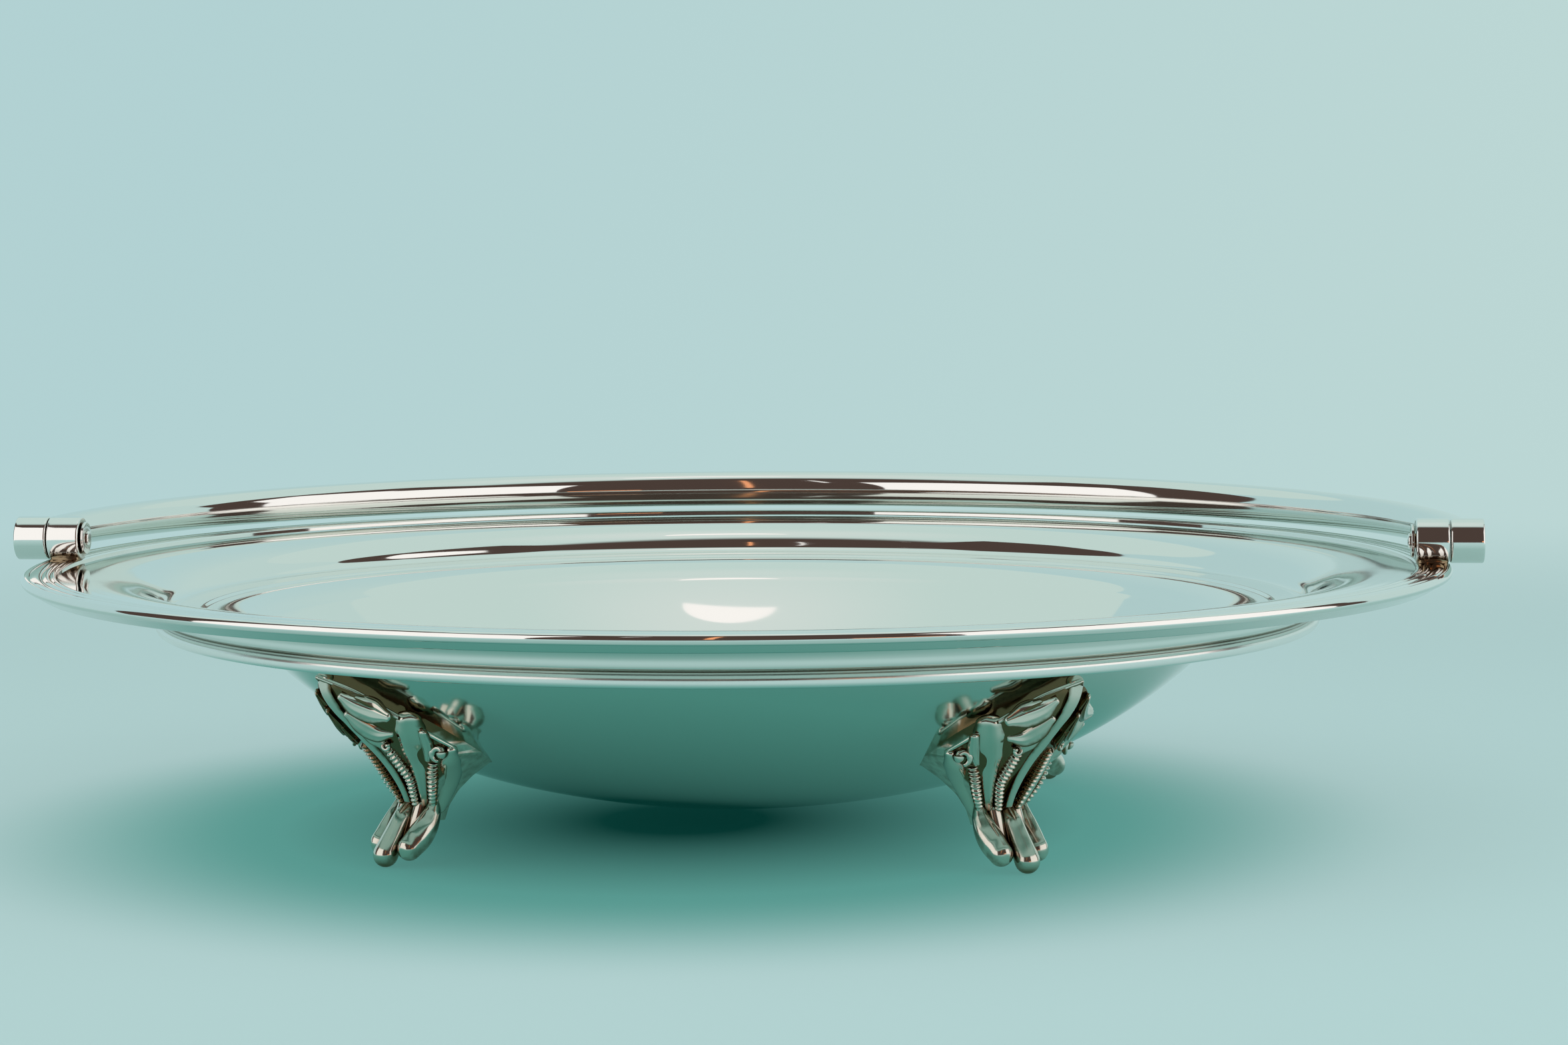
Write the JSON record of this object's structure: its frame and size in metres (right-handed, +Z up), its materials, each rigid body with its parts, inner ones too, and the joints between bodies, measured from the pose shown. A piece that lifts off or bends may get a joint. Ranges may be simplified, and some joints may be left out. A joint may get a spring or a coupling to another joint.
{
  "type": "serving bowl",
  "caption": "Shallow round serving bowl with a flat flange, reeded rim, cast scroll-and-toe feet and a hinged swing handle folded back over the rim.",
  "frame": {"origin": "on the floor under the bowl's axis: centre of the base of the bounding box, with the handle folded back", "axes": "+Z up along the bowl's axis, +X along the pivot axis of the handle, +Y towards the side over which the handle is folded back"},
  "size_m": [0.2612, 0.25, 0.0545],
  "materials": {
    "silver_plate": "polished silver plate with fine wear",
    "cast_silver": "polished cast silver plate, brown patina in the hollows",
    "pin_steel": "dull, darkened"
  },
  "bodies": {
    "bowl": {"bowl_shell": "silver_plate", "rim_border": "silver_plate", "shoulder_wire": "silver_plate", "pivot_barrel_left": "cast_silver", "pivot_barrel_right": "cast_silver", "foot_front_left": "cast_silver", "foot_front_right": "cast_silver", "foot_back_left": "cast_silver", "foot_back_right": "cast_silver"},
    "handle": {"handle_bail": "silver_plate", "handle_knob_left": "silver_plate", "handle_knob_right": "silver_plate", "pivot_pin_left": "pin_steel", "pivot_pin_right": "pin_steel", "pin_washer_left": "pin_steel", "pin_washer_right": "pin_steel"}
  },
  "joints": [
    {"name": "handle_swing", "type": "hinge", "parent": "bowl", "child": "handle", "pos_m": [0, 0, 0.05022], "axis": [1, 0, 0], "range_deg": [0, 179.2]}
  ]
}
